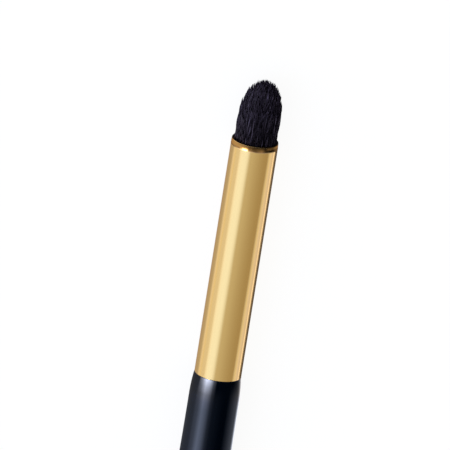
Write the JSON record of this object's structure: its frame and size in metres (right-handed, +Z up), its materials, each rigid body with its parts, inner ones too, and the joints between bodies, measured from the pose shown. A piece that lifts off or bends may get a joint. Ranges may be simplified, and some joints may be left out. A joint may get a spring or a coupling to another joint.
{
  "type": "eyeshadow brush",
  "caption": "Slim eyeshadow brush lying on its side: a domed tuft of dark hair in a long polished metal ferrule, on a tapered lacquered wooden handle.",
  "frame": {"origin": "on the surface that the brush lies on, under the middle of its length and width", "axes": "+X along the brush's axis, from the tail of the handle to the tip of the tuft; +Z up"},
  "size_m": [0.16, 0.008, 0.008],
  "materials": {
    "hair": "fine blue-black filament, satin along each hair",
    "thread": "waxed natural thread",
    "resin": "cast clear amber resin",
    "gold_metal": "polished and gold plated",
    "glue": "cured cream glue",
    "lacquered_wood": "blue-black gloss lacquer"
  },
  "bodies": {
    "root": {"hair_tuft": "hair", "root_binding": "thread", "root_resin": "resin", "ferrule": "gold_metal", "tenon_glue": "glue", "handle": "lacquered_wood"}
  },
  "joints": []
}
